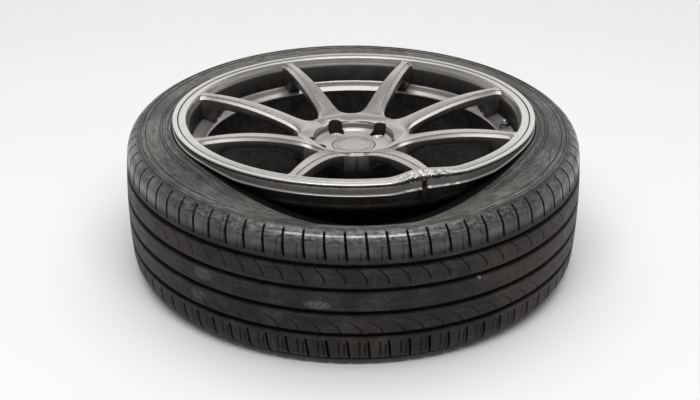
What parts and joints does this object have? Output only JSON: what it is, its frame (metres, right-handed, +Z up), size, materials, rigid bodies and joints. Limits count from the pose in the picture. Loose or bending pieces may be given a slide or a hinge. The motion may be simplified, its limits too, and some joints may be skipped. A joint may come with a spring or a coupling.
{
  "type": "car wheel with flat tyre",
  "caption": "Alloy car wheel lying flat with a low-profile tyre that has gone flat, its upper bead off the rim beside a kerbed, cracked lip.",
  "frame": {"origin": "on the ground under the tyre's axis, in the middle of the tyre's footprint", "axes": "+Z up along the tyre's axis as it lies flat, -Y towards the side where the bead has dropped and the rim stands proud, +X to the right seen from there"},
  "size_m": [0.6288, 0.6288, 0.2299],
  "materials": {
    "alloy": "satin gunmetal paint, chipped to bare alloy at the kerbed lip",
    "tyre_rubber": "matt black rubber with dust and scuffs",
    "cap": "satin gunmetal paint",
    "spring_steel": "plain drawn wire",
    "valve_rubber": "matt black",
    "valve_cap_metal": "dull nickel",
    "weight_metal": "dull zinc"
  },
  "bodies": {
    "root": {"alloy_wheel": "alloy", "tyre": "tyre_rubber", "centre_cap": "cap", "cap_clip_ring": "spring_steel", "valve_stem": "valve_rubber", "valve_cap": "valve_cap_metal", "balance_weights_outer": "weight_metal", "balance_weights_inner": "weight_metal"}
  },
  "joints": []
}
